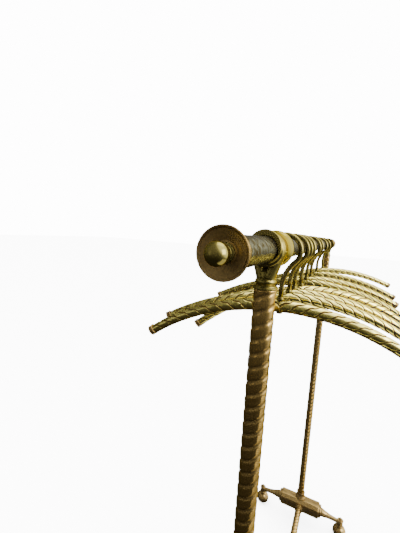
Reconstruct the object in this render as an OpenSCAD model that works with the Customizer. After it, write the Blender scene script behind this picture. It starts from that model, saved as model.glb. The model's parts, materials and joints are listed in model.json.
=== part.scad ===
// A brass garment rack on castors, with its coat hangers on the rail.
// X runs along the rail, Y along the feet, Z up from the floor; the origin is
// on the floor under the middle of the rail.

/* [Frame] */
// Distance between the axes of the two columns
column_spacing = 1080; // [900:1:1400]
// Height of the rail's axis above the floor
rail_height = 1373; // [1100:1:1700]
// Length of rail from a column's axis to the rim of the end flange
rail_overhang = 155.5; // [110:0.5:190]
// Distance along a foot from its middle to a castor's swivel axis
foot_reach = 184; // [150:1:230]

/* [Rail] */
// Outer diameter of the rail tube
rail_d = 33.3; // [27:0.1:42]
// Wall of the rail tube
rail_wall = 1.5; // [1:0.1:3]
// How far the rim of each end flange stands out from the rail
flange_lip = 7.35; // [5:0.05:12]
// Depth of the flange's dish, from its rim to its floor
dish_depth = 6; // [3:0.5:8]
// Wall of the flange and of its sleeve
flange_wall = 1.8; // [1.2:0.1:2.4]
// Length of the flange's sleeve over the rail tube
sleeve_length = 13; // [9:0.5:20]
// Diameter of the ball finials
finial_d = 21; // [16:0.5:26]
// Length of the plug in each end of the rail tube
plug_length = 20; // [12:1:30]
// Diameter of the threaded studs of the finials
stud_d = 8; // [5:0.5:10]

/* [Yokes] */
// Radial thickness of the collar round the rail
collar_wall = 3.8; // [2.5:0.1:6]
// Length of the collar's sleeve, on its inner side
collar_sleeve = 38; // [20:1:50]
// Diameter of the three ribs round the collar
rib_d = 5; // [2:0.1:6]
// Width of the flared ring at the collar's outer end
flare_width = 6; // [4:0.5:9]
// How far the flared ring stands out above the collar
flare_height = 4.3; // [2:0.1:7]
// How far the flared ring stands out at the collar's sides
flare_side = 0.8; // [0.2:0.1:2]
// Length of the flared lip at the sleeve's inner end
lip_length = 14; // [6:1:20]
// How far the flared lip stands out from the sleeve
lip_height = 5; // [1:0.5:8]
// Diameter of the yoke's neck, above the bead
neck_d = 25; // [18:0.5:30]
// Drop from the rail's axis to the foot of the yoke
yoke_drop = 48; // [44:0.5:70]
// Diameter of the set screw in each yoke
set_screw_d = 5; // [3:0.5:6]

/* [Columns] */
// Outer diameter of the twisted columns
column_d = 30; // [24:0.5:38]
// Wall of the column tubes
column_wall = 2; // [1.2:0.1:4]
// Thickness of the ring on top of each column
ring_height = 3.2; // [2:0.1:6]
// How far the ring stands out from the column
ring_lip = 1.2; // [0.5:0.1:3]
// Length of the ring's spigot inside the column
spigot_length = 12; // [6:1:20]
// Diameter of the threaded rods inside the columns and the stretcher
tie_rod_d = 8; // [6:0.5:10]
// Depth of thread at each end of a column's rod
thread_depth = 14; // [8:1:16]

/* [Feet] */
// Width and height of the eight-sided foot block
block_w = 62; // [50:0.5:70]
// Width of the bevel along each of the block's four edges
block_bevel = 13; // [8:0.5:17]
// Length of the foot block
block_length = 176; // [140:1:210]
// Length of the bevelled end at each end of the block
step_length = 10; // [6:1:16]
// Height of the block's axis above the floor
block_height = 90; // [84:1:108]
// Diameter of the round necks that carry the castor bosses
arm_d = 20; // [15:0.5:23]
// Diameter of the castor bosses
boss_d = 27; // [23:0.5:34]
// Height of the castor bosses
boss_height = 30; // [27:0.5:38]
// Height of the bottom of the castor bosses above the floor
boss_bottom = 62; // [60:0.5:74]
// Diameter of the pointed caps on the bosses
cap_d = 14; // [11:0.5:18]

/* [Column sockets] */
// How far the socket's lower step stands out from its cup
socket_step = 4; // [1:0.5:8]
// Height of the socket's lower step
socket_base_h = 12; // [6:0.5:16]
// Radial wall of the socket's upper cup
socket_wall = 4; // [2:0.5:8]
// Height of the socket's upper cup
socket_cup_h = 20; // [12:0.5:28]
// Thickness of the floor that the column stands on
socket_floor = 3; // [2:0.5:5]

/* [Stretcher] */
// Outer diameter of the twisted stretcher
stretcher_d = 28; // [22:0.5:34]
// Wall of the stretcher tube
stretcher_wall = 2; // [1.2:0.1:4]
// Height of the stretcher's axis above the floor
stretcher_height = 86; // [82:1:100]
// Radial wall of the cups that hold the stretcher
cup_wall = 3; // [2:0.5:5]
// Depth of the cups, with their floor
cup_depth = 14; // [8:1:20]
// Width across the flats of the nuts on the stretcher's rod
nut_af = 15; // [12:0.5:19]

/* [Castors] */
// Diameter of the castor balls
ball_d = 50; // [42:0.5:56]
// Distance from the swivel axis to the middle of the ball
trail = 12; // [6:0.5:14]
// Gap between the ball and its hood
hood_gap = 1.2; // [0.8:0.1:2]
// Thickness of the hood
hood_wall = 2.6; // [1.6:0.1:3]
// Diameter of the axle through the ball
axle_d = 6; // [4:0.5:8]
// Diameter of the swivel stem
stem_d = 10; // [7:0.5:12]
// Diameter of the bush that the stem turns in
bush_d = 16; // [13:0.5:18]

/* [Hangers] */
// Distance from the middle of a hanger to each tip of its bar
hanger_reach = 226; // [180:1:280]
// Drop from the rail's axis to the middle of the bar
hanger_drop = 95; // [90:0.5:120]
// How far the tips of most hangers hang below the middle of the bar
hanger_sag = 60; // [30:1:80]
// How far the tips of the two deeper hangers hang below the middle of the bar
deep_sag = 78; // [40:1:90]
// Diameter of the rope-twist bar
bar_d = 20; // [14:0.5:24]
// Diameter of the wire of the hook
wire_d = 8; // [5:0.5:10]
// How far the hook bulges past the rail on its front side
hook_bulge = 4; // [2:0.5:8]
// Angle past the horizontal at which the hook turns back
hook_turn = 45; // [40:1:50]
// Diameter of the hook's pin through the bar
pin_d = 6; // [4:0.5:7]
// Diameter of the ferrule on the hook's shank
ferrule_d = 13; // [10:0.5:18]
// Length of the ferrule and of the caps' collars
ferrule_h = 5; // [3:0.5:7]
// How far the end caps stand out round the bar
cap_lip = 0.6; // [0.3:0.1:2]
// Length of the caps on the tips of the bar
cap_length = 9; // [6:0.5:14]

/* [Fits] */
// Radial clearance of parts that turn in each other
running = 0.05; // [0.02:0.01:0.1]
// Radial clearance of parts that are pushed or screwed together
fixed = 0.02; // [0.01:0.01:0.1]
// Gap between parts that pass each other without a fit
gap = 0.3; // [0.2:0.05:0.6]
// Radial clearance of a rod in a hole that it passes through
through = 0.3; // [0.1:0.05:0.8]

/* [Hidden] */
// Each hanger: distance along the rail from the near column, its turn about its
// hook, how far it leans over sideways on the rail, and its sag
HANGERS = [
    [108, 10, 0, deep_sag], [190, 22, -1, hanger_sag],
    [240, 23, 0, hanger_sag], [292, 25, 4, deep_sag],
    [420, 9, 0, hanger_sag], [490, 19, 2, hanger_sag],
    [645, 12, 2, hanger_sag], [790, 20, 6, hanger_sag]
];
CASTORS = [[-1, -1], [-1, 1], [1, -1], [1, 1]];

big = 120;
brass = "#8a7038";
dark_brass = "#5f4c28";
bright_brass = "#c9bd7e";
steel = "#8c8c88";

column_x = column_spacing / 2;
rim_x = column_x + rail_overhang;
floor_x = rim_x - dish_depth;
rail_end = floor_x - flange_wall;
finial_x = rim_x + finial_d / 2 - 1;
rail_in = rail_d - 2 * rail_wall;
flange_d = rail_d + 2 * flange_lip;

collar_r = rail_d / 2 + fixed + collar_wall;
rib_pitch = rib_d + 0.5;
flare_x = 3 * rib_pitch;
yoke_foot = rail_height - yoke_drop;
ring_bottom = yoke_foot - ring_height;
bead_r = neck_d / 5;

block_top = block_height + block_w / 2;
column_bottom = block_top + socket_floor;
column_top = ring_bottom;
socket_cup_d = column_d + 2 * socket_wall;
socket_base_d = socket_cup_d + 2 * socket_step;

block_end = block_length / 2 + step_length;
boss_top = boss_bottom + boss_height;
arm_start = block_end - step_length;
arm_low = (boss_bottom + boss_top) / 2 + 1;

cup_seat = max(block_w, socket_base_d) / 2 + 2;
stretcher_end = column_x - cup_seat - socket_floor;
washer_h = 1.6;
nut_h = nut_af * 0.8;

ball_z = ball_d / 2;
hood_in = ball_d / 2 + hood_gap;
hood_out = hood_in + hood_wall;
neck_top = boss_bottom - gap;
stem_top = boss_top - 9;

hook_r = rail_d / 2 + gap + wire_d / 2;
hook_tip_d = wire_d + 2;
bulge_r = hook_r + hook_bulge;
return_r = bulge_r * cos(hook_turn) / (1 - cos(hook_turn));
shank_top = -hook_bulge - (bulge_r + return_r) * sin(hook_turn);
ferrule_bottom = -hanger_drop + bar_d / 2 + gap;

$fn = 64;

// Shapes used by several parts

// A cylinder along X from x0 to x1
module rod_x(d, x0, x1) {
    translate([x0, 0, 0]) rotate([0, 90, 0]) cylinder(d = d, h = x1 - x0);
}

// A cylinder along Z from z0 to z1
module rod_z(d, z0, z1) {
    translate([0, 0, z0]) cylinder(d = d, h = z1 - z0);
}

// A round bar bent in the YZ plane about (y, z), from angle a0 to a1
module bend(y, z, r, a0, a1, d) {
    translate([0, y, z])
        rotate([90, 0, 90])
            rotate([0, 0, a0])
                rotate_extrude(angle = a1 - a0)
                    translate([r, 0])
                        circle(d = d);
}

// A bead that covers the joint between two bends of a wire of diameter d
module joint_bead(y, z, d) {
    translate([0, y, z]) sphere(d = d + 0.2);
}

// Puts a part at the near end as drawn, with its outer side towards -X
module near_end() {
    translate([-column_x, 0, 0]) children();
}

// The same part at the far end, turned half round
module far_end() {
    rotate([0, 0, 180]) translate([-column_x, 0, 0]) children();
}

module both_ends() {
    near_end() children();
    far_end() children();
}

// Puts a part at castor i's swivel axis
module at_castor(i) {
    translate([CASTORS[i][0] * column_x, CASTORS[i][1] * foot_reach, 0]) children();
}

// Rail

module rail_tube() {
    color(brass)
        translate([0, 0, rail_height])
            difference() {
                rod_x(rail_d, -rail_end, rail_end);
                rod_x(rail_in, -rail_end - 1, rail_end + 1);
            }
}

module end_plug() {
    translate([column_x - rail_end, 0, rail_height])
        difference() {
            rod_x(rail_in - 2 * fixed, 0, plug_length);
            rod_x(stud_d + 2 * fixed, -1, plug_length + 1);
        }
}

module rail_end_plugs() {
    color(steel) both_ends() end_plug();
}

// A shallow dish whose floor closes the tube and whose sleeve slides over it
module flange() {
    sleeve_r = rail_d / 2 + fixed + flange_wall;
    rim_r = flange_d / 2;
    translate([column_x - rim_x, 0, rail_height])
        rotate([0, 90, 0])
            rotate_extrude()
                polygon([
                    [stud_d / 2 + fixed, dish_depth],
                    [sleeve_r - flange_wall, dish_depth],
                    [rim_r - flange_wall, 0],
                    [rim_r, 0],
                    [rim_r, flange_wall],
                    [sleeve_r, dish_depth + flange_wall],
                    [sleeve_r, dish_depth + flange_wall + sleeve_length],
                    [rail_d / 2 + fixed, dish_depth + flange_wall + sleeve_length],
                    [rail_d / 2 + fixed, dish_depth + flange_wall],
                    [stud_d / 2 + fixed, dish_depth + flange_wall]
                ]);
}

module near_flange() {
    color(dark_brass) near_end() flange();
}

module far_flange() {
    color(dark_brass) far_end() flange();
}

// A ball on a short foot, with the stud that screws into the plug
module finial() {
    translate([column_x, 0, rail_height]) {
        translate([-finial_x, 0, 0]) sphere(d = finial_d);
        rod_x(finial_d * 0.6, -finial_x, -floor_x);
        rod_x(stud_d, -floor_x - 1, -rail_end + plug_length - 2);
    }
}

module ball_finials() {
    color(bright_brass) both_ends() finial();
}

// Yokes

// The collar: a flared ring that is set high, three ribs, and a sleeve that
// ends in a flared lip
module collar() {
    rod_x(2 * collar_r, -flare_x, collar_sleeve);
    for (i = [0 : 2])
        translate([-rib_pitch * (i + 0.5), 0, 0])
            rotate([0, 90, 0])
                rotate_extrude()
                    translate([collar_r, 0])
                        circle(d = rib_d);
    translate([-flare_x - flare_width, 0, flare_height - flare_side])
        rotate([0, 90, 0])
            cylinder(r1 = collar_r + flare_side, r2 = collar_r, h = flare_width);
    translate([collar_sleeve - lip_length, 0, 0])
        rotate([0, 90, 0])
            cylinder(r1 = collar_r, r2 = collar_r + lip_height, h = lip_length);
}

// One arm of the Y, from the neck to the side of the collar
module yoke_arm(side) {
    low = [0, side * neck_d / 5, -yoke_drop + neck_d * 0.4];
    high = [0, side * (collar_r - 1.5), -rail_d * 0.24];
    run = high - low;
    translate(low)
        rotate([-side * atan2(abs(run[1]), run[2]), 0, 0])
            cylinder(r1 = neck_d * 0.42, r2 = neck_d * 0.27, h = norm(run));
    translate(high) sphere(r = neck_d * 0.27);
}

module yoke() {
    translate([0, 0, rail_height])
        difference() {
            union() {
                collar();
                yoke_arm(-1);
                yoke_arm(1);
                rod_z(neck_d, -yoke_drop, -yoke_drop + neck_d * 0.55);
                rod_z(column_d + 1, -yoke_drop, -yoke_drop + 2.2);
                translate([0, 0, -yoke_drop + 2.2 + bead_r * 0.8])
                    rotate_extrude()
                        translate([column_d / 2 - bead_r + 0.6, 0])
                            circle(r = bead_r);
            }
            rod_x(rail_d + 2 * fixed, -big, big);
            rod_z(tie_rod_d + 2 * fixed, -yoke_drop - 1, -yoke_drop + thread_depth + 1);
            translate([collar_sleeve * 0.45, 0, 0]) rod_z(set_screw_d + 2 * fixed, 0, big);
        }
}

module near_yoke() {
    color(bright_brass) near_end() yoke();
}

module far_yoke() {
    color(bright_brass) far_end() yoke();
}

// A slotted screw that grips the rail through the top of the sleeve
module set_screw() {
    top = collar_r + 1;
    translate([collar_sleeve * 0.45, 0, rail_height])
        difference() {
            rod_z(set_screw_d, rail_d / 2 + fixed, top);
            translate([-0.5, -big / 2, top - 1]) cube([1, big, 2]);
        }
}

module yoke_set_screws() {
    color(steel) both_ends() set_screw();
}

// Columns

module column() {
    difference() {
        rod_z(column_d, column_bottom, column_top);
        rod_z(column_d - 2 * column_wall, column_bottom - 1, column_top + 1);
    }
}

module near_column() {
    color(brass) near_end() column();
}

module far_column() {
    color(brass) far_end() column();
}

// A ring that caps the column and centres it with a spigot
module top_ring() {
    difference() {
        union() {
            rod_z(column_d + 2 * ring_lip, ring_bottom, yoke_foot);
            rod_z(column_d - 2 * column_wall - 2 * fixed, ring_bottom - spigot_length, ring_bottom + 1);
        }
        rod_z(tie_rod_d + 2 * through, ring_bottom - spigot_length - 1, yoke_foot + 1);
    }
}

module column_top_rings() {
    color(bright_brass) both_ends() top_ring();
}

module column_tie_rods() {
    color(steel) both_ends() rod_z(tie_rod_d, block_top - thread_depth, yoke_foot + thread_depth);
}

// Stepped cup that the foot of the column stands in
module socket() {
    cup_top = block_top + socket_base_h + socket_cup_h;
    difference() {
        union() {
            rod_z(socket_base_d, block_top, block_top + socket_base_h);
            rod_z(socket_cup_d, block_top, cup_top);
        }
        rod_z(column_d + 2 * fixed, column_bottom, cup_top + 1);
        rod_z(tie_rod_d + 2 * through, block_top - 1, cup_top);
    }
}

module near_socket() {
    color(dark_brass) near_end() socket();
}

module far_socket() {
    color(dark_brass) far_end() socket();
}

// Feet

// One arm of the foot: a neck that tapers and falls from the block to the boss
module foot_arm() {
    run = foot_reach - arm_start;
    fall = block_height - arm_low;
    translate([0, arm_start, block_height])
        rotate([-90 - atan2(fall, run), 0, 0])
            cylinder(d1 = block_w * 0.58, d2 = arm_d, h = norm([run, fall]));
    translate([0, foot_reach, 0]) rod_z(boss_d, boss_bottom, boss_top);
}

// The foot's block along Y: a bar with bevelled edges and stepped ends
module block_bar(width, length) {
    w = width / 2;
    b = block_bevel * width / block_w;
    translate([0, length / 2, block_height])
        rotate([90, 0, 0])
            linear_extrude(length)
                polygon([
                    [w, b - w], [w, w - b], [w - b, w], [b - w, w],
                    [-w, w - b], [-w, b - w], [b - w, -w], [w - b, -w]
                ]);
}

module foot() {
    difference() {
        union() {
            block_bar(block_w, block_length);
            block_bar(block_w * 0.8, 2 * block_end);
            rod_z(socket_base_d, block_height, block_top);
            translate([0, 0, stretcher_height])
                rod_x(stretcher_d + 2 * cup_wall, -cup_seat, cup_seat);
            foot_arm();
            mirror([0, 1, 0]) foot_arm();
        }
        rod_z(tie_rod_d + 2 * fixed, block_top - thread_depth - 1, big * 2);
        translate([0, 0, stretcher_height]) rod_x(tie_rod_d + 2 * through, -big, big);
        for (side = [-1, 1])
            translate([0, side * foot_reach, 0]) {
                rod_z(bush_d + 2 * fixed, boss_bottom - 1, boss_top - 6);
                rod_z(stem_d * 0.7, boss_top - 7, boss_top + 1);
            }
    }
}

module near_foot() {
    color(dark_brass) near_end() foot();
}

module far_foot() {
    color(dark_brass) far_end() foot();
}

// A pointed cap screwed into the top of each castor boss
module boss_cap() {
    rod_z(stem_d * 0.7 - 2 * fixed, boss_top - 4, boss_top + 1);
    rod_z(cap_d, boss_top, boss_top + cap_d * 0.3);
    translate([0, 0, boss_top + cap_d * 0.3]) cylinder(d1 = cap_d * 0.85, d2 = cap_d * 0.6, h = cap_d * 0.35);
    translate([0, 0, boss_top + cap_d * 0.65]) cylinder(d1 = cap_d * 0.6, d2 = cap_d * 0.1, h = cap_d * 0.3);
}

module boss_caps() {
    color(dark_brass)
        for (i = [0 : 3])
            at_castor(i) boss_cap();
}

// Stretcher

module stretcher() {
    color(brass)
        translate([0, 0, stretcher_height])
            difference() {
                rod_x(stretcher_d, -stretcher_end, stretcher_end);
                rod_x(stretcher_d - 2 * stretcher_wall, -stretcher_end - 1, stretcher_end + 1);
            }
}

module stretcher_rod() {
    reach = column_x + cup_seat + washer_h + nut_h * 0.7;
    color(steel)
        translate([0, 0, stretcher_height])
            rod_x(tie_rod_d, -reach, reach);
}

// A cup on the inner side of the foot that the stretcher's end sits in
module stretcher_cup() {
    translate([cup_seat, 0, stretcher_height])
        difference() {
            rod_x(stretcher_d + 2 * cup_wall, 0, cup_depth);
            rod_x(stretcher_d + 2 * fixed, socket_floor, cup_depth + 1);
            rod_x(tie_rod_d + 2 * through, -1, cup_depth);
        }
}

module stretcher_cups() {
    color(dark_brass) both_ends() stretcher_cup();
}

module stretcher_washer() {
    translate([-cup_seat - washer_h, 0, stretcher_height])
        difference() {
            rod_x(nut_af * 1.5, 0, washer_h);
            rod_x(tie_rod_d + 2 * through, -1, washer_h + 1);
        }
}

module stretcher_washers() {
    color(dark_brass) both_ends() stretcher_washer();
}

// A domed hexagon nut on the end of the stretcher's rod
module cap_nut() {
    translate([-cup_seat - washer_h, 0, stretcher_height])
        difference() {
            union() {
                translate([-nut_h * 0.55, 0, 0])
                    rotate([0, 90, 0])
                        cylinder(d = nut_af / cos(30), h = nut_h * 0.55, $fn = 6);
                intersection() {
                    translate([-nut_h * 0.55, 0, 0]) sphere(d = nut_af * 0.94);
                    rod_x(nut_af, -big, -nut_h * 0.5);
                }
            }
            rod_x(tie_rod_d + 2 * fixed, -nut_h * 0.7, 1);
        }
}

module stretcher_cap_nuts() {
    color(dark_brass) both_ends() cap_nut();
}

// Castors

module castor_bush() {
    difference() {
        rod_z(bush_d, boss_bottom, boss_top - 6);
        rod_z(stem_d + 2 * running, boss_bottom - 1, boss_top);
    }
}

module castor_bushes() {
    color(steel)
        for (i = [0 : 3])
            at_castor(i) castor_bush();
}

// A half-round hood over the ball, cut away at the front, on a swivel stem
module hood() {
    difference() {
        union() {
            translate([trail, 0, ball_z]) sphere(r = hood_out);
            rod_z(stem_d * 1.5, ball_z, neck_top);
            rod_z(bush_d * 1.5, neck_top - 4, neck_top);
            rod_z(stem_d, ball_z, stem_top);
        }
        translate([trail, 0, ball_z]) {
            sphere(r = hood_in);
            rotate([0, -20, 0])
                translate([-big / 2, -big / 2, -big - axle_d])
                    cube([big, big, big]);
            rotate([90, 0, 0]) translate([0, 0, -big / 2]) cylinder(d = axle_d + 2 * fixed, h = big);
        }
    }
}

module castor_axle(i) {
    color(steel)
        at_castor(i)
            translate([trail, 0, ball_z])
                rotate([90, 0, 0])
                    translate([0, 0, -hood_out + 0.4])
                        cylinder(d = axle_d, h = 2 * hood_out - 0.8);
}

module castor_hood(i) {
    color(dark_brass) at_castor(i) hood();
}

module castor_ball(i) {
    color(dark_brass)
        at_castor(i)
            translate([trail, 0, ball_z])
                difference() {
                    sphere(d = ball_d);
                    rotate([90, 0, 0])
                        translate([0, 0, -big / 2])
                            cylinder(d = axle_d + 2 * running, h = big);
                }
}

// Hangers

// Puts a part on the rail at hanger i, with the rail's axis at its origin
module at_hanger(i) {
    translate([HANGERS[i][0] - column_x, 0, rail_height]) rotate([-HANGERS[i][2], 0, 0]) children();
}

// The hook: over the rail, out on its front side and back to the middle, then
// a straight shank, a ferrule, the pin through the bar and a button below it
module hook(i) {
    color(brass)
        at_hanger(i) {
            bend(0, 0, hook_r, -25, 90, wire_d);
            bend(0, hook_r - bulge_r, bulge_r, 90, 180 + hook_turn, wire_d);
            bend(-return_r, shank_top, return_r, 0, hook_turn, wire_d);
            joint_bead(0, hook_r, wire_d);
            joint_bead(-bulge_r * cos(hook_turn), -hook_bulge - bulge_r * sin(hook_turn), wire_d);
            joint_bead(0, shank_top, wire_d);
            rod_z(wire_d, ferrule_bottom, shank_top);
            rod_z(ferrule_d, ferrule_bottom, ferrule_bottom + ferrule_h);
            rod_z(pin_d, -hanger_drop - bar_d / 2 - gap - 1, ferrule_bottom + 1);
            rod_z(ferrule_d * 0.8, -hanger_drop - bar_d / 2 - gap - 3, -hanger_drop - bar_d / 2 - gap);
            rotate([-25, 0, 0])
                translate([0, hook_r + (hook_tip_d - wire_d) / 2, 0])
                    sphere(d = hook_tip_d);
        }
}

// Radius of the arc of a bar whose tips hang down by sag
function arch_r(sag) = (hanger_reach * hanger_reach + sag * sag) / (2 * sag);

// Angle of that arc from its middle to a tip, and the angle that a cap covers
function arch_angle(sag) = asin(hanger_reach / arch_r(sag));
function cap_angle(sag) = cap_length / arch_r(sag) * 180 / PI;

// The bar: one arc from tip to tip, drilled for the hook's pin
module bar(i) {
    sag = HANGERS[i][3];
    half = arch_angle(sag) - cap_angle(sag);
    color(bright_brass)
        at_hanger(i)
            rotate([0, 0, HANGERS[i][1]])
                difference() {
                    bend(0, -hanger_drop - arch_r(sag), arch_r(sag), 90 - half, 90 + half, bar_d);
                    rod_z(pin_d + 2 * running, -hanger_drop - bar_d, -hanger_drop + bar_d);
                }
}

// A short round cap on each tip of the bar
module caps(i) {
    sag = HANGERS[i][3];
    color(dark_brass)
        at_hanger(i)
            rotate([0, 0, HANGERS[i][1]])
                for (a0 = [90 - arch_angle(sag), 90 + arch_angle(sag) - cap_angle(sag)])
                    bend(0, -hanger_drop - arch_r(sag), arch_r(sag), a0, a0 + cap_angle(sag),
                         bar_d + 2 * cap_lip);
}

rail_tube();
rail_end_plugs();
near_flange();
far_flange();
ball_finials();
near_yoke();
far_yoke();
yoke_set_screws();
near_column();
far_column();
column_top_rings();
column_tie_rods();
near_socket();
far_socket();
near_foot();
far_foot();
stretcher();
stretcher_rod();
stretcher_cups();
stretcher_washers();
stretcher_cap_nuts();
boss_caps();
castor_bushes();
castor_hood(0);  // castor_1_hood
castor_axle(0);  // castor_1_axle
castor_ball(0);  // castor_1_ball
castor_hood(1);  // castor_2_hood
castor_axle(1);  // castor_2_axle
castor_ball(1);  // castor_2_ball
castor_hood(2);  // castor_3_hood
castor_axle(2);  // castor_3_axle
castor_ball(2);  // castor_3_ball
castor_hood(3);  // castor_4_hood
castor_axle(3);  // castor_4_axle
castor_ball(3);  // castor_4_ball
hook(0);  // hanger_1_hook
bar(0);  // hanger_1_bar
caps(0);  // hanger_1_caps
hook(1);  // hanger_2_hook
bar(1);  // hanger_2_bar
caps(1);  // hanger_2_caps
hook(2);  // hanger_3_hook
bar(2);  // hanger_3_bar
caps(2);  // hanger_3_caps
hook(3);  // hanger_4_hook
bar(3);  // hanger_4_bar
caps(3);  // hanger_4_caps
hook(4);  // hanger_5_hook
bar(4);  // hanger_5_bar
caps(4);  // hanger_5_caps
hook(5);  // hanger_6_hook
bar(5);  // hanger_6_bar
caps(5);  // hanger_6_caps
hook(6);  // hanger_7_hook
bar(6);  // hanger_7_bar
caps(6);  // hanger_7_caps
hook(7);  // hanger_8_hook
bar(7);  // hanger_8_bar
caps(7);  // hanger_8_caps
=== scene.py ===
"""A brass garment rack on castors with rope-twist coat hangers on its rail.

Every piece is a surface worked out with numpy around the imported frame, in
metres. A shell is a grid of rows of points: rows follow the piece's length,
columns go round it, and its ends are closed by poles or by joining the last
row to the first.
"""

import json
import math

import bpy
import numpy as np
from mathutils import Matrix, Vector
from bpy.props import FloatProperty, FloatVectorProperty, IntProperty, PointerProperty
from bpy.types import Operator, Panel, PropertyGroup


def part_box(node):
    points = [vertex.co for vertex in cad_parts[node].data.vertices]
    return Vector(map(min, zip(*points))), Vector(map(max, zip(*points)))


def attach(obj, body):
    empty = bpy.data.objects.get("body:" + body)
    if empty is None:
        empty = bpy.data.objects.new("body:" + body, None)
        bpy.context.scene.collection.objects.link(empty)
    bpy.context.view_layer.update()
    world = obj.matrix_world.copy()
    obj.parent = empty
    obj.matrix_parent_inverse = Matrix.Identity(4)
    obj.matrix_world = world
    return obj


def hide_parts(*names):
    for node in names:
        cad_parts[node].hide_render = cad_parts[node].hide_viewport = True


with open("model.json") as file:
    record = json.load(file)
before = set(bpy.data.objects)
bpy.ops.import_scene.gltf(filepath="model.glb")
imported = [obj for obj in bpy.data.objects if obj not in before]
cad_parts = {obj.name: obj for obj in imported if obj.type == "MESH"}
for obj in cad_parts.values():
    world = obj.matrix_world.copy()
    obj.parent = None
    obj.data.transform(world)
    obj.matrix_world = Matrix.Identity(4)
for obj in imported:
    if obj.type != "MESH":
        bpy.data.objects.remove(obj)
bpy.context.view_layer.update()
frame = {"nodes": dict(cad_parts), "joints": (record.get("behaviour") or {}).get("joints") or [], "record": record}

bl_info = {
    "name": "Brass garment rack",
    "version": (1, 0, 0),
    "blender": (4, 5, 0),
    "location": "View3D > Sidebar > Rack",
    "description": "Builds a brass garment rack with its coat hangers",
    "category": "Add Mesh",
}

MM = 0.001
TAU = 2 * math.pi
X_AXIS = np.array([1.0, 0.0, 0.0])
Y_AXIS = np.array([0.0, 1.0, 0.0])
Z_AXIS = np.array([0.0, 0.0, 1.0])
JOINTS = {j["name"]: j for j in frame["joints"]}
BODY_OF = {
    node: body
    for body, nodes in frame["record"]["behaviour"]["bodies"].items()
    for node in nodes
}


# Places read from the frame


def corners(node):
    """A node's lowest and highest corner as arrays."""
    low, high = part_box(node)
    return np.array(low), np.array(high)


def node_points(node):
    """All of a node's vertices as an array."""
    mesh = frame["nodes"][node].data
    co = np.zeros(len(mesh.vertices) * 3, np.float32)
    mesh.vertices.foreach_get("co", co)
    return co.reshape(-1, 3).astype(float)


RAIL_LOW, RAIL_HIGH = corners("rail_tube")
RAIL_Z = (RAIL_LOW[2] + RAIL_HIGH[2]) / 2
RAIL_R = (RAIL_HIGH[2] - RAIL_LOW[2]) / 2
COLUMN_LOW, COLUMN_HIGH = corners("far_column")
COLUMN_X = (COLUMN_LOW[0] + COLUMN_HIGH[0]) / 2
COLUMN_R = (COLUMN_HIGH[0] - COLUMN_LOW[0]) / 2
YOKE_LOW, YOKE_HIGH = corners("far_yoke")
STRETCHER_LOW, STRETCHER_HIGH = corners("stretcher")
STRETCHER_Z = (STRETCHER_LOW[2] + STRETCHER_HIGH[2]) / 2
STRETCHER_R = (STRETCHER_HIGH[2] - STRETCHER_LOW[2]) / 2
BALL_LOW, BALL_HIGH = corners("castor_1_ball")
BALL_R = (BALL_HIGH[2] - BALL_LOW[2]) / 2
HANGERS = range(1, 9)
CASTORS = range(1, 5)
ENDS = (("near", -1), ("far", 1))

TUBE_WALL = 2 * MM
ROD_HOLE = 4.3 * MM  # radius of the holes for the threaded rods
STEM_HOLE = 8.02 * MM  # radius of a boss's bore for the castor's bush
CAP_STUD = 4 * MM  # height of a pointed cap's stud below its disc
DISH_DEPTH = 6.0 * MM  # floor of an end flange's dish below its rim
SKIN_VOXEL, SKIN_SMOOTHING = 0.55 * MM, 9
BEAT_PITCH, BEATS_ROUND, BEAT_DEPTH = 5.2 * MM, 20, 0.55 * MM
BEAT_SEED = 7
ROWS_PER_TURN = 14  # rows of a twisted tube's grid for one turn
FADE = 4 * MM  # length over which the flutes fade out at a tube's ends
STRETCHER_STARTS, STRETCHER_DEPTH = 3, 1.8 * MM
WIRE_R, BAR_R, TIP_R = 4.0 * MM, 10.5 * MM, 9.4 * MM
HOOK_TURN = 45.0  # where a hook's bulge meets its last arc, in degrees
CAP_REACH, CAP_DROP = 5.6 * MM, 9.2 * MM  # how far a cap reaches past its tip, out and down
LEFT_HANDED = (1, 4)  # hangers whose strands wind the other way


# Shells and meshes


def close_rows(rows, ring):
    """Faces of a grid of rows that is closed round each row.

    Face (i, j) joins row i to row i + 1 between columns j and j + 1, both
    counted round. With ring, the last row joins the first as well.
    """
    n, m = rows.shape[:2]
    i = np.arange(n if ring else n - 1)[:, None]
    j = np.arange(m)[None, :]
    k = (j + 1) % m
    up = (i + 1) % n
    return np.stack([i * m + j, i * m + k, up * m + k, up * m + j], -1).reshape(-1, 4)


def shell(rows, ring=False, worn=None):
    """A closed shell from rows of points, as points, quads, triangles, worn.

    Unless it is a ring, each end is closed by a fan to the mean of its row.
    worn is a value from 0 in the hollows to 1 on the ridges.
    """
    n, m = rows.shape[:2]
    points = rows.reshape(-1, 3)
    worn = np.full((n, m), 0.5) if worn is None else np.broadcast_to(worn, (n, m))
    values = worn.reshape(-1)
    quads = close_rows(rows, ring)
    tris = np.zeros((0, 3), int)
    if not ring:
        poles = np.stack([rows[0].mean(0), rows[-1].mean(0)])
        points = np.concatenate([points, poles])
        values = np.concatenate([values, [worn[0].mean(), worn[-1].mean()]])
        j = np.arange(m)
        k = (j + 1) % m
        first = np.stack([k, j, np.full(m, n * m)], -1)
        last = np.stack([j + (n - 1) * m, k + (n - 1) * m, np.full(m, n * m + 1)], -1)
        tris = np.concatenate([first, last])
    if volume(points, quads, tris) < 0:
        quads, tris = quads[:, ::-1], tris[:, ::-1]
    return points, quads, tris, values


def volume(points, quads, tris):
    """Signed volume: a sixth of the sum of a . (b x c) over all triangles."""
    faces = np.concatenate([quads[:, [0, 1, 2]], quads[:, [0, 2, 3]], tris])
    a, b, c = (points[faces[:, i]] for i in range(3))
    return np.einsum("ij,ij->", a, np.cross(b, c)) / 6


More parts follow.
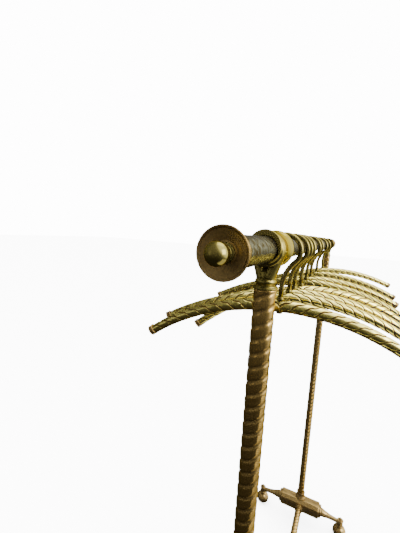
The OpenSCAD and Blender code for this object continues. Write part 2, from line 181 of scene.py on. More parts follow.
def piece(name, shells, material, body, nodes=()):
    """One smooth mesh object from shells, riding on a body, for CAD nodes."""
    points, quads, tris, worn, start = [], [], [], [], 0
    for p, q, t, w in shells:
        points.append(p)
        quads.append(q + start)
        tris.append(t + start)
        worn.append(w)
        start += len(p)
    points, worn = np.concatenate(points), np.concatenate(worn)
    quads, tris = np.concatenate(quads), np.concatenate(tris)
    mesh = bpy.data.meshes.new(name)
    mesh.vertices.add(len(points))
    mesh.vertices.foreach_set("co", points.astype(np.float32).ravel())
    loops = np.concatenate([quads.ravel(), tris.ravel()])
    totals = np.concatenate([np.full(len(quads), 4), np.full(len(tris), 3)])
    mesh.loops.add(len(loops))
    mesh.loops.foreach_set("vertex_index", loops.astype(np.int32))
    mesh.polygons.add(len(totals))
    starts = np.concatenate([[0], np.cumsum(totals)[:-1]])
    mesh.polygons.foreach_set("loop_start", starts.astype(np.int32))
    mesh.polygons.foreach_set("use_smooth", np.ones(len(totals), bool))
    mesh.update(calc_edges=True)
    mesh.validate()
    layer = mesh.attributes.new("worn", "FLOAT", "POINT")
    layer.data.foreach_set("value", worn.astype(np.float32))
    mesh.materials.append(material)
    obj = bpy.data.objects.new(name, mesh)
    bpy.context.scene.collection.objects.link(obj)
    if body:
        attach(obj, body)
    if nodes:
        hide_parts(*nodes)
    return obj


def stand_in(name, shells, node, slot):
    """A piece in place of one CAD node, on its body and in its finish."""
    return piece(name, shells, finish_named(slot), BODY_OF[node], [node])


def cross_axes(axis):
    """Two unit vectors square to an axis and to each other."""
    axis = np.asarray(axis, float)
    other = Z_AXIS if abs(axis[2]) < 0.9 else X_AXIS
    e1 = np.cross(other, axis)
    e1 /= np.linalg.norm(e1)
    return e1, np.cross(axis, e1)


def rounded(outline, radius, steps=4):
    """An outline with every inner corner replaced by an arc.

    At a corner between unit directions u and v the arc starts and ends
    r * tan(turn / 2) away from it, cut to 45% of the shorter side.
    """
    pts = np.asarray(outline, float)
    radii = np.broadcast_to(radius, len(pts))
    out = [pts[0]]
    for a, b, c, r in zip(pts[:-2], pts[1:-1], pts[2:], radii[1:-1]):
        u, v = b - a, c - b
        lu, lv = np.linalg.norm(u), np.linalg.norm(v)
        u, v = u / lu, v / lv
        turn = math.acos(max(-1.0, min(1.0, float(u @ v))))
        if turn < 0.05 or r <= 0:
            out.append(b)
            continue
        cut = min(r * math.tan(turn / 2), 0.45 * min(lu, lv))
        t = np.linspace(0, 1, steps + 1)[:, None]
        start, end = b - u * cut, b + v * cut
        out.extend((1 - t) ** 2 * start + 2 * t * (1 - t) * b + t * t * end)
    out.append(pts[-1])
    return np.array(out)


def ridge_wear(profile):
    """How far each point of a profile stands out from its neighbours, 0 to 1."""
    pts = np.asarray(profile, float)
    mid = pts.copy()
    mid[1:-1] = (pts[:-2] + pts[2:]) / 2
    out = (pts[:, 0] - mid[:, 0]) / (0.02 * MM)
    return np.clip(0.5 + 0.5 * out, 0, 1)


def turned(profile, origin, axis, sides=64, radius=0.4 * MM, ring=False):
    """A turned shell: a profile of (radius, height) carried round an axis.

    The point at height h and angle a is origin + h * axis
    + r * (cos a * e1 + sin a * e2). Its corners are rounded first.
    """
    prof = rounded(profile, radius)
    if ring:
        prof = prof[:-1] if np.allclose(prof[0], prof[-1]) else prof
    e1, e2 = cross_axes(axis)
    a = np.linspace(0, TAU, sides, endpoint=False)
    round_ = np.cos(a)[:, None] * e1 + np.sin(a)[:, None] * e2
    rows = (
        np.asarray(origin)
        + prof[:, 1, None, None] * np.asarray(axis)
        + prof[:, 0, None, None] * round_[None]
    )
    return shell(rows, ring, ridge_wear(prof)[:, None])


def ball(centre, radius, axis=Z_AXIS, sides=48, rows=24):
    """A sphere: radius * sin t round the axis and radius * cos t along it."""
    t = np.linspace(0.02, math.pi - 0.02, rows)
    prof = np.stack([radius * np.sin(t), -radius * np.cos(t)], -1)
    return turned(prof, centre, axis, sides, 0)


def wire(path, normal, radius, sides=20):
    """A round wire along a plane path: circles square to the path.

    e1 is the path's direction turned a quarter in its plane and e2 is the
    plane's normal; radius may change along the path.
    """
    along = np.gradient(path, axis=0)
    along /= np.linalg.norm(along, axis=1)[:, None]
    e1 = np.cross(normal, along)
    e1 /= np.linalg.norm(e1, axis=1)[:, None]
    a = np.linspace(0, TAU, sides, endpoint=False)
    r = np.broadcast_to(radius, len(path))[:, None, None]
    rows = path[:, None] + r * (
        np.cos(a)[None, :, None] * e1[:, None] + np.sin(a)[None, :, None] * normal
    )
    return shell(rows)


def arc(centre, r, start, end, steps):
    """Points in the YZ plane at angles from start to end, in degrees."""
    a = np.radians(np.linspace(start, end, steps))
    flat = np.stack([np.zeros(steps), np.cos(a), np.sin(a)], -1)
    return np.asarray(centre) + r * flat


def turn_z(points, angle):
    """Points turned about Z by an angle in radians."""
    c, s = math.cos(angle), math.sin(angle)
    return points @ np.array([[c, s, 0], [-s, c, 0], [0, 0, 1]])


def lean_over(points, angle):
    """Points turned about X so that -Z moves towards -Y by an angle."""
    c, s = math.cos(angle), math.sin(angle)
    return points @ np.array([[1, 0, 0], [0, c, -s], [0, s, c]])


def at_end(shells, side):
    """Shells drawn at the far end, or turned half round to the near end."""
    if side > 0:
        return shells
    return [(turn_z(p, math.pi), q, t, w) for p, q, t, w in shells]


def both_ends(one):
    """A shell drawn at the far end, with its copy at the near end first."""
    return [half for _, side in ENDS for half in at_end([one], side)]


# Twisted tubes


def flute(phase, depth):
    """Drop below full radius at a phase from 0 to 1 across one flute.

    A narrow groove, 0.6 * |cos(pi * p)| ** 9, parts two flutes; going down
    the tube each flute stands proud just after its groove and then sinks
    slowly by 0.4 * (p - p ** 10).
    """
    p = phase % 1.0
    return depth * (0.6 * np.abs(np.cos(np.pi * p)) ** 9 + 0.4 * (p - p**10))


def twisted_tube(start, axis, length, radius, wall, settings, sides=72):
    """A tube with spiral flutes, as a shell.

    Its grid turns with the twist, so that each column stays on one line of
    the section: angle = column angle + tau * h / lead. The radius there is
    R - flute(starts * column angle / tau). The flutes fade out at both ends,
    and the lead is trimmed to a whole number of turns.
    """
    lead, starts, depth = settings
    turns = max(1, round(length / lead))
    rows_n = turns * ROWS_PER_TURN
    h = np.linspace(0, length, rows_n + 1)
    u = np.linspace(0, TAU, sides, endpoint=False)
    drop = flute(starts * u / TAU, depth)
    fade = np.clip(np.minimum(h, length - h) / FADE, 0, 1)
    r = radius - drop[None] * fade[:, None]
    a = u[None] + TAU * turns * h[:, None] / length
    inner_r = np.full((2, sides), radius - wall)
    inner_a = np.stack([a[-1], a[0]])
    inner_h = np.array([length, 0.0])
    r, a, h = np.vstack([r, inner_r]), np.vstack([a, inner_a]), np.append(h, inner_h)
    e1, e2 = cross_axes(axis)
    rows = (
        np.asarray(start)
        + h[:, None, None] * np.asarray(axis)
        + r[..., None] * (np.cos(a)[..., None] * e1 + np.sin(a)[..., None] * e2)
    )
    worn = np.clip(0.9 - 0.9 * (radius - r) / depth, 0, 1)
    return shell(rows, True, worn)


# Materials


def aged_brass(name, dark, bright, polish, rough, mottle, edge):
    """Aged brass: dark patina in the hollows, rubbed metal on the ridges.

    The attribute worn and two noises in object space mix the dark colour
    with the bright one, and set the roughness; a third noise gives the bump.
    mottle scales all three noises, and edge is the tint at grazing angles.
    """
    mat = bpy.data.materials.new(name)
    mat.use_nodes = True
    nodes, links = mat.node_tree.nodes, mat.node_tree.links
    shader = nodes["Principled BSDF"]
    coord = nodes.new("ShaderNodeTexCoord")
    worn = nodes.new("ShaderNodeAttribute")
    worn.attribute_name = "worn"

    def noise(scale, detail, distortion=0.0):
        node = nodes.new("ShaderNodeTexNoise")
        node.inputs["Scale"].default_value = scale
        node.inputs["Detail"].default_value = detail
        node.inputs["Distortion"].default_value = distortion
        links.new(coord.outputs["Object"], node.inputs["Vector"])
        return node.outputs["Fac"]

    def math_node(operation, a, b, clamp=False):
        node = nodes.new("ShaderNodeMath")
        node.operation = operation
        node.use_clamp = clamp
        for socket, value in zip(node.inputs, (a, b)):
            if isinstance(value, float):
                socket.default_value = value
            else:
                links.new(value, socket)
        return node.outputs[0]

    cloud = math_node("SUBTRACT", noise(38.0, 4.0, 0.6), 0.5)
    speck = math_node("SUBTRACT", noise(420.0, 3.0), 0.5)
    level = math_node("MULTIPLY_ADD", worn.outputs["Fac"], polish)
    level.node.inputs[2].default_value = 0.5 - polish / 2
    level = math_node("ADD", level, math_node("MULTIPLY", cloud, 1.1 * mottle))
    level = math_node("ADD", level, math_node("MULTIPLY", speck, 0.55 * mottle), True)
    ramp = nodes.new("ShaderNodeValToRGB")
    ramp.color_ramp.elements[0].color = (*dark, 1)
    ramp.color_ramp.elements[0].position = 0.12
    ramp.color_ramp.elements[1].color = (*bright, 1)
    ramp.color_ramp.elements[1].position = 0.88
    middle = ramp.color_ramp.elements.new(0.5)
    middle.color = (*(0.55 * d + 0.45 * b for d, b in zip(dark, bright)), 1)
    links.new(level, ramp.inputs["Fac"])
    links.new(ramp.outputs["Color"], shader.inputs["Base Color"])
    shader.inputs["Metallic"].default_value = 1.0
    shader.inputs["Specular Tint"].default_value = (*edge, 1)
    spread = math_node("MULTIPLY", math_node("SUBTRACT", level, 0.5), -0.22)
    links.new(math_node("ADD", spread, rough, True), shader.inputs["Roughness"])
    bump = nodes.new("ShaderNodeBump")
    bump.inputs["Strength"].default_value = 0.35 * mottle
    bump.inputs["Distance"].default_value = 0.25 * MM
    links.new(noise(700.0, 3.0), bump.inputs["Height"])
    links.new(bump.outputs["Normal"], shader.inputs["Normal"])
    return mat


def plain_stage(name, colour):
    """A matt pale surface for the floor."""
    mat = bpy.data.materials.new(name)
    mat.use_nodes = True
    shader = mat.node_tree.nodes["Principled BSDF"]
    shader.inputs["Base Color"].default_value = (*colour, 1)
    shader.inputs["Roughness"].default_value = 0.9
    return mat


MATERIALS = {}


def finish_named(name):
    """The rack's finishes, each made once, by the record's slot name."""
    if name not in MATERIALS:
        look = bpy.context.scene.rack_finish
        dark, gold, pale = tuple(look.patina), tuple(look.gold), tuple(look.pale)
        deep = [0.6 * c + 0.01 for c in dark]
        warm = [0.5 * g + 0.5 * d + 0.02 for g, d in zip(gold, dark)]
        green = [0.27, 0.27, 0.20]
        mellow = [0.42 * p for p in pale]
        recipe = {
            "hammered_brass": (deep, green, 1.3, 0.20, 0.6),
            "twisted_brass": (deep, gold, 0.7, 0.22, 0.5),
            "dark_brass": (deep, warm, 0.6, 0.30, 0.8),
            "bright_brass": (dark, mellow, 0.3, 0.20, 0.2),
            "rope_brass": (dark, pale, 1.0, 0.20, 0.5),
            "wire_brass": (deep, mellow, 0.9, 0.20, 0.5),
            "steel": ([0.2, 0.19, 0.18], [0.5, 0.49, 0.47], 0.3, 0.35, 1.0),
        }
        plain = name in ("hammered_brass", "steel")
        edge = [0.55, 0.54, 0.44] if plain else [0.72, 0.58, 0.30]
        MATERIALS[name] = aged_brass(name, *recipe[name], edge)
    return MATERIALS[name]


# Settings


COLOUR = {"subtype": "COLOR", "size": 3, "min": 0, "max": 1}


class RackFinish(PropertyGroup):
    """Colours of the rack's brass."""

    patina: FloatVectorProperty(
        name="Patina",
        description="Colour of the dark patina in the hollows",
        **COLOUR,
        default=(0.070, 0.040, 0.010),
    )
    gold: FloatVectorProperty(
        name="Gold",
        description="Colour of the rubbed brass on the ridges",
        **COLOUR,
        default=(0.66, 0.44, 0.13),
    )
    pale: FloatVectorProperty(
        name="Pale brass",
        description="Colour of the bright, polished brass",
        **COLOUR,
        default=(0.95, 0.82, 0.22),
    )


class RackTwist(PropertyGroup):
    """The spirals of the columns, the stretcher and the hanger bars."""

    column_lead: FloatProperty(
        name="Column lead",
        description="Length of one turn of a column's spiral",
        unit="LENGTH",
        min=0.02,
        default=0.038,
    )
    column_starts: IntProperty(
        name="Column flutes",
        description="Number of flutes side by side on a column",
        min=1,
        default=2,
    )
    column_depth: FloatProperty(
        name="Flute depth",
        description="Depth of the groove between two flutes",
        unit="LENGTH",
        min=0.0003,
        default=0.0017,
    )
    stretcher_lead: FloatProperty(
        name="Stretcher lead",
        description="Length of one turn of the stretcher's spiral",
        unit="LENGTH",
        min=0.02,
        default=0.054,
    )
    bar_lead: FloatProperty(
        name="Hanger lead",
        description="Length of one turn of the strands of a hanger bar",
        unit="LENGTH",
        min=0.02,
        default=0.080,
    )
    bar_strands: IntProperty(
        name="Hanger strands",
        description="Number of strands of a hanger bar",
        min=2,
        default=4,
    )
    bar_taper: FloatProperty(
        name="Hanger taper",
        description="Radius of a bar at its tips, as a share of its middle",
        min=0.5,
        max=1,
        default=0.80,
    )


class RackView(PropertyGroup):
    """The camera's place and direction."""

    place: FloatVectorProperty(
        name="Place",
        description="Where the camera stands",
        subtype="TRANSLATION",
        unit="LENGTH",
        size=3,
        default=(-0.9225, -0.094, 1.389),
    )
    heading: FloatProperty(
        name="Heading",
        description="Turn of the view from +Y, towards -X",
        subtype="ANGLE",
        default=math.radians(-63.57),
    )
    pitch: FloatProperty(
        name="Pitch",
        description="Rise of the view above the horizontal",
        subtype="ANGLE",
        default=math.radians(-6.48),
    )
    roll: FloatProperty(
        name="Roll",
        description="Turn of the camera about its own view",
        subtype="ANGLE",
        default=math.radians(3.55),
    )
    lens: FloatProperty(
        name="Lens",
        description="Focal length for a 36 mm long side",
        subtype="DISTANCE_CAMERA",
        default=20.26,
    )


# The rail and its ends


class RACK_OT_rail(Operator):
    """The rail: a tube whose surface is beaten all over in small scales"""

    bl_idname = "rack.rail"
    bl_label = "Rail"

    def execute(self, context):
        rows_n, sides = 700, 72
        x = np.linspace(RAIL_LOW[0], RAIL_HIGH[0], rows_n)
        a = np.linspace(0, TAU, sides, endpoint=False)
        around = a[None] / TAU * BEATS_ROUND
        drop = self.scales(x[:, None] / BEAT_PITCH, around, BEATS_ROUND)
        worn = np.clip(0.95 - 1.1 * drop, 0, 1)
        r = RAIL_R - BEAT_DEPTH * drop
        r = np.vstack([r, np.full((2, sides), RAIL_R - 1.5 * MM)])
        worn = np.vstack([worn, np.zeros((2, sides))])
        x = np.append(x, [RAIL_HIGH[0], RAIL_LOW[0]])
        rows = np.stack(
            [
                np.broadcast_to(x[:, None], r.shape),
                r * np.cos(a),
                RAIL_Z + r * np.sin(a),
            ],
            -1,
        )
        stand_in("rail", [shell(rows, True, worn)], "rail_tube", "hammered_brass")
        return {"FINISHED"}

    @staticmethod
    def scales(u, v, around):
        """Depth of a beaten surface, from 0 to about 1.

        Each cell of a brick grid has one blow near its middle. A point's
        depth is the nearest blow's strength times
        1 - (distance / 0.75) ** 2, so the rims between blows stand proud.
        """
        rng = np.random.default_rng(BEAT_SEED)
        cells = 400
        jitter = rng.uniform(-0.27, 0.27, (cells, around, 2))
        strength = rng.uniform(0.45, 1.0, (cells, around))
        u, v = np.broadcast_arrays(u, v)
        best = np.full(u.shape, 9.0)
        power = np.zeros(u.shape)
        row = np.floor(u).astype(int)
        for du in (-1, 0, 1):
            i = row + du
            shift = 0.5 * (i % 2)
            col = np.floor(v - shift).astype(int)
            for dv in (-1, 0, 1):
                j = col + dv
                cell = jitter[i % cells, j % around]
                cu = i + 0.5 + cell[..., 0] - u
                cv = j + 0.5 + shift + cell[..., 1] - v
                d = np.hypot(cu, cv)
                near = d < best
                best = np.where(near, d, best)
                power = np.where(near, strength[i % cells, j % around], power)
        return power * np.clip(1 - (best / 0.75) ** 2, 0, 1)


class RACK_OT_flanges(Operator):
    """The end flanges: turned dishes with a rolled rim and a ribbed sleeve"""

    bl_idname = "rack.flanges"
    bl_label = "End flanges"

    def execute(self, context):
        for name, side in ENDS:
            low, high = corners(f"{name}_flange")
            rim_x = high[0] if side > 0 else -low[0]
            back = high[0] - low[0]
            rim_r = (high[2] - low[2]) / 2
            hole = 4.2 * MM
            neck = RAIL_R + 1.7 * MM
            profile = [
                (hole, -DISH_DEPTH),
                (RAIL_R * 0.66, -DISH_DEPTH),
                (rim_r - 3.0 * MM, -1.7 * MM),
                (rim_r - 1.9 * MM, -0.6 * MM),
                (rim_r - 0.9 * MM, 0),
                (rim_r - 0.1 * MM, -0.5 * MM),
                (rim_r, -1.5 * MM),
                (rim_r - 1.0 * MM, -2.4 * MM),
                (neck + 2.6 * MM, -5.6 * MM),
                (neck + 0.4 * MM, -9.5 * MM),
                (neck, -12.0 * MM),
                (neck, -back + 3.0 * MM),
                (neck + 0.9 * MM, -back + 2.4 * MM),
                (neck + 0.9 * MM, -back + 0.6 * MM),
                (neck, -back),
                (RAIL_R + 0.02 * MM, -back),
                (RAIL_R + 0.02 * MM, -7.9 * MM),
                (hole, -7.9 * MM),
                (hole, -DISH_DEPTH),
            ]
            dish = turned(profile, (rim_x, 0, RAIL_Z), X_AXIS, 96, 0.5 * MM, True)
            dish = (*dish[:3], np.full(len(dish[0]), 0.55))
            stand_in(f"{name}_end_flange", at_end([dish], side), f"{name}_flange", "dark_brass")
        return {"FINISHED"}


class RACK_OT_finials(Operator):
    """The finials: a ball on a turned foot, with the stud behind it"""

    bl_idname = "rack.finials"
    bl_label = "Ball finials"

    def execute(self, context):
        low, high = corners("ball_finials")
        radius = (high[2] - low[2]) / 2
        centre = high[0] - radius
        _, flange_high = corners("far_flange")
        floor = flange_high[0] - DISH_DEPTH - centre
        t = np.radians(np.linspace(140, 1, 40))
        head = np.stack([radius * np.sin(t), radius * np.cos(t)], -1)
        neck = [
            (0.3 * MM, floor - 22 * MM),
            (3.9 * MM, floor - 22 * MM),
            (3.9 * MM, floor + 0.1 * MM),
            (9.4 * MM, floor + 0.1 * MM),
            (9.4 * MM, floor + 1.3 * MM),
            (7.4 * MM, floor + 1.9 * MM),
            (6.6 * MM, floor + 2.4 * MM),
        ]
        neck = rounded(neck, 0.5 * MM)
        profile = np.vstack([neck, head])
        knob = turned(profile, (centre, 0, RAIL_Z), X_AXIS, 64, 0)
        stand_in("finials", both_ends(knob), "ball_finials", "bright_brass")
        return {"FINISHED"}


# The yokes


class RACK_OT_yokes(Operator):
    """The yokes: cast Y pieces whose collars hold the rail"""

    bl_idname = "rack.yokes"
    bl_label = "Yokes"

    def execute(self, context):
        parts = [self.collar(), self.neck(), self.web(), self.arm(-1), self.arm(1)]
        for name, side in ENDS:
            look = finish_named("bright_brass")
            cast = piece(f"{name}_yoke_casting", at_end(parts, side), look, "")
            fuse(cast, SKIN_VOXEL, SKIN_SMOOTHING)
            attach(cast, BODY_OF[f"{name}_yoke"])
            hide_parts(f"{name}_yoke")
        self.screws()
        return {"FINISHED"}

    @staticmethod
    def collar():
        """A high flared ring, three ribs, and a sleeve that ends in a lip.

        The flared ring's centre is lifted, so that it stands out above the
        rail, hardly shows at the sides and fades away below.
        """
        outer, inner = YOKE_HIGH[0], YOKE_LOW[0]
        bore = RAIL_R + 0.25 * MM
        sleeve = RAIL_R + 3.7 * MM
        flare = (YOKE_HIGH[2] - RAIL_Z) - 0.3 * MM - sleeve
        side, lift = 0.6 * MM, flare - 0.6 * MM
        profile = [
            (bore, outer, 0),
            (sleeve + side - 1.4 * MM, outer, lift),
            (sleeve + side - 0.4 * MM, outer - 0.4 * MM, lift),
            (sleeve + side, outer - 1.4 * MM, lift),
            (sleeve + side - 0.2 * MM, outer - 3.2 * MM, 0.95 * lift),
            (sleeve - 0.2 * MM, outer - 5.0 * MM, 0.7 * lift),
            (sleeve - 0.6 * MM, outer - 6.0 * MM, 0.3 * lift),
        ]
        rib = 5.5 * MM
        start = outer - 6.0 * MM
        t = np.linspace(0, 1, 11)[1:]
        swell = 2.9 * MM * np.sqrt(np.clip(1 - (2 * t - 1) ** 2, 0, 1))
        for i in range(3):
            x = start - rib * (i + t)
            profile += [(sleeve - 0.9 * MM + h, k, 0) for h, k in zip(swell, x)]
        end = start - 3 * rib
        lip = YOKE_HIGH[1] - RAIL_R - 0.1 * MM
        profile += [
            (sleeve - 0.3 * MM, end - 0.8 * MM, 0),
            (sleeve, end - 2.0 * MM, 0),
            (sleeve + 0.3 * MM, inner + 15 * MM, 0),
            (sleeve + 2.2 * MM, inner + 8 * MM, 0),
            (RAIL_R + lip - 0.4 * MM, inner + 2.4 * MM, 0),
            (RAIL_R + lip, inner + 1.2 * MM, 0),
            (RAIL_R + lip - 0.7 * MM, inner + 0.1 * MM, 0),
            (RAIL_R + 1.5 * MM, inner + 0.6 * MM, 0),
            (bore, inner + 0.8 * MM, 0),
        ]
        r, x, up = np.array(profile).T
        a = np.linspace(0, TAU, 96, endpoint=False)
        y = r[:, None] * np.sin(a)
        z = RAIL_Z + up[:, None] + r[:, None] * np.cos(a)
        return shell(np.stack([np.broadcast_to(x[:, None], y.shape), y, z], -1), True)

    @staticmethod
    def neck():
        """The turned foot of the yoke: a disc, a bead and the round neck."""
        foot = YOKE_LOW[2]
        r = COLUMN_R
        t = np.radians(np.linspace(-85, 85, 14))
        bead_r = r - 5.6 * MM + 4.4 * MM * np.cos(t)
        bead_z = foot + 6.6 * MM + 4.2 * MM * np.sin(t)
        profile = [
            (0.2 * MM, foot),
            (r + 0.1 * MM, foot),
            (r + 0.3 * MM, foot + 0.9 * MM),
            (r - 0.2 * MM, foot + 1.8 * MM),
            (r - 3.2 * MM, foot + 2.3 * MM),
        ]
        profile += list(zip(bead_r, bead_z))
        profile += [
            (r - 3.0 * MM, foot + 11.6 * MM),
            (r - 3.2 * MM, foot + 16.0 * MM),
            (r - 4.0 * MM, foot + 20.0 * MM),
            (r - 8.0 * MM, foot + 24.0 * MM),
            (0.2 * MM, foot + 25.0 * MM),
        ]
        return turned(profile, (COLUMN_X, 0, 0), Z_AXIS, 72, 0.25 * MM)

    @staticmethod
    def arm(side):
        """One arm of the Y: ellipses carried along a curve to the collar.

        The centre follows a square-law curve from the neck to the collar's
        side, and the ellipse narrows as it rises.
        """
        foot = YOKE_LOW[2]
        t = np.linspace(0, 1, 26)[:, None]
        low = np.array([COLUMN_X, side * 4.0 * MM, foot + 12.0 * MM])
        mid = np.array([COLUMN_X, side * 8.5 * MM, foot + 24.0 * MM])
        high = np.array([COLUMN_X, side * 19.2 * MM, RAIL_Z + 1.0 * MM])
        path = (1 - t) ** 2 * low + 2 * t * (1 - t) * mid + t**2 * high
        along = np.gradient(path, axis=0)
        along /= np.linalg.norm(along, axis=1)[:, None]
        e1 = np.cross(X_AXIS, along)
        wide = (1 - t) * 12.0 * MM + t * 9.0 * MM
        thick = (1 - t) * 8.6 * MM + t * 5.6 * MM
        a = np.linspace(0, TAU, 48, endpoint=False)
        rows = (
            path[:, None]
            + wide[:, None] * np.cos(a)[None, :, None] * X_AXIS
            + thick[:, None] * np.sin(a)[None, :, None] * e1[:, None]
        )
        return shell(rows)

    @staticmethod
    def web():
        """The thin web in the crotch of the Y, up to the collar."""
        foot = YOKE_LOW[2]
        z = np.linspace(foot + 14 * MM, RAIL_Z - RAIL_R - 1.2 * MM, 12)[:, None]
        t = np.linspace(0, 1, 12)[:, None]
        a = np.linspace(0, TAU, 48, endpoint=False)[None]
        x = COLUMN_X + (9.0 - 6.0 * t) * MM * np.cos(a)
        y = (9.0 + 5.0 * t) * MM * np.sin(a)
        return shell(np.stack([x, y, z + 0 * a], -1))

    @staticmethod
    def screws():
        """A set screw with a chamfered head on top of each collar's sleeve."""
        low, high = corners("yoke_set_screws")
        r = (high[1] - low[1]) / 2
        top = high[2]
        x = high[0] - r
        base = RAIL_Z + RAIL_R
        profile = [
            (0.1 * MM, base),
            (r, base),
            (r, top - 0.3 * MM),
            (r - 0.5 * MM, top),
            (0.1 * MM, top),
        ]
        screw = turned(profile, (x, 0, 0), Z_AXIS, 32, 0.2 * MM)
        stand_in("set_screws", both_ends(screw), "yoke_set_screws", "steel")


def fuse(obj, voxel, smoothing):
    """Joins a piece's shells into one skin and lets their joints flow.

    The skin is remade in small cubes and smoothed, which leaves a fillet
    where two shells meet, as in a casting. worn is then worked out anew: how
    far a point stands out from the mean of its neighbours.
    """
    remesh = obj.modifiers.new("skin", "REMESH")
    remesh.mode = "VOXEL"
    remesh.voxel_size = voxel
    remesh.use_smooth_shade = True
    smooth = obj.modifiers.new("flow", "SMOOTH")
    smooth.factor = 0.5
    smooth.iterations = smoothing
    evaluated = obj.evaluated_get(bpy.context.evaluated_depsgraph_get())
    mesh = bpy.data.meshes.new_from_object(evaluated)
    obj.modifiers.clear()
    materials = list(obj.data.materials)
    obj.data = mesh
    mesh.materials.clear()
    for material in materials:
        mesh.materials.append(material)
    mesh.polygons.foreach_set("use_smooth", np.ones(len(mesh.polygons), bool))
    wear_from_shape(mesh, 6)


def wear_from_shape(mesh, rounds):
    """Sets worn to how far each vertex stands out from its surroundings.

    The surroundings are the mean of neighbours, taken over several rounds;
    the offset along the normal is scaled to 0.45 in hollows and 1 on ridges.
    """
    n = len(mesh.vertices)
    co = np.zeros(n * 3, np.float32)
    mesh.vertices.foreach_get("co", co)
    co = co.reshape(-1, 3).astype(float)
    normal = np.zeros(n * 3, np.float32)
    mesh.vertices.foreach_get("normal", normal)
    normal = normal.reshape(-1, 3)
    edges = np.zeros(len(mesh.edges) * 2, np.int32)
    mesh.edges.foreach_get("vertices", edges)
    a, b = edges.reshape(-1, 2).T
    count = np.bincount(a, minlength=n) + np.bincount(b, minlength=n)
    count = np.maximum(count, 1)[:, None]
    mean = co.copy()
    for _ in range(rounds):
        total = np.zeros_like(mean)
        np.add.at(total, a, mean[b])
        np.add.at(total, b, mean[a])
        mean = total / count
    out = np.einsum("ij,ij->i", co - mean, normal) / (0.45 * MM)
    layer = mesh.attributes.get("worn") or mesh.attributes.new("worn", "FLOAT", "POINT")
    layer.data.foreach_set("value", np.clip(0.7 + out * 0.3, 0.45, 1).astype(np.float32))


# The columns


class RACK_OT_columns(Operator):
    """The twisted columns, and the ring on top of each"""

    bl_idname = "rack.columns"
    bl_label = "Columns"

    def execute(self, context):
        twist = context.scene.rack_twist
        length = COLUMN_HIGH[2] - COLUMN_LOW[2]
        settings = (twist.column_lead, twist.column_starts, twist.column_depth)
        for name, side in ENDS:
            start = (side * COLUMN_X, 0, COLUMN_LOW[2])
            tube = twisted_tube(start, Z_AXIS, length, COLUMN_R, TUBE_WALL, settings)
            stand_in(f"{name}_twisted_column", [tube], f"{name}_column", "twisted_brass")
        self.rings()
        return {"FINISHED"}

    @staticmethod
    def rings():
        """A thin ring with a rounded edge, and its spigot in the column."""
        low, high = corners("column_top_rings")
        r = (high[1] - low[1]) / 2
        seat = COLUMN_HIGH[2]
        hole = ROD_HOLE
        spigot = COLUMN_R - 2.02 * MM
        profile = [
            (hole, low[2]),
            (spigot, low[2]),
            (spigot, seat),
            (r - 0.7 * MM, seat),
            (r, seat + 0.8 * MM),
            (r, high[2] - 0.8 * MM),
            (r - 0.7 * MM, high[2]),
            (hole, high[2]),
            (hole, low[2]),
        ]
        ring = turned(profile, (COLUMN_X, 0, 0), Z_AXIS, 72, 0.3 * MM, True)
        stand_in("top_rings", both_ends(ring), "column_top_rings", "bright_brass")


class RACK_OT_sockets(Operator):
    """The stepped sockets that the columns stand in"""

    bl_idname = "rack.sockets"
    bl_label = "Sockets"

    def execute(self, context):
        low, high = corners("far_socket")
        base_r = (high[0] - low[0]) / 2
        bore = COLUMN_R + 0.03 * MM
        cup = base_r - 4 * MM
        seat = COLUMN_LOW[2]
        foot, top = low[2], high[2]
        step = foot + 12 * MM
        profile = [
            (ROD_HOLE, foot),
            (base_r - 0.8 * MM, foot),
            (base_r, foot + 1.0 * MM),
            (base_r, foot + 5.0 * MM),
            (base_r - 1.8 * MM, foot + 6.2 * MM),
            (base_r - 1.4 * MM, step - 2.6 * MM),
            (cup + 1.0 * MM, step),
            (cup - 0.6 * MM, step + 2.5 * MM),
            (cup - 1.2 * MM, top - 7.0 * MM),
            (cup - 0.2 * MM, top - 5.0 * MM),
            (cup, top - 1.4 * MM),
            (cup - 1.2 * MM, top),
            (bore, top),
            (bore, seat),
            (ROD_HOLE, seat),
            (ROD_HOLE, foot),
        ]
        for name, side in ENDS:
            cup_shell = turned(profile, (COLUMN_X, 0, 0), Z_AXIS, 72, 0.4 * MM, True)
            stand_in(
                f"{name}_column_socket", at_end([cup_shell], side),
                f"{name}_socket", "dark_brass",
            )
        return {"FINISHED"}


# The feet


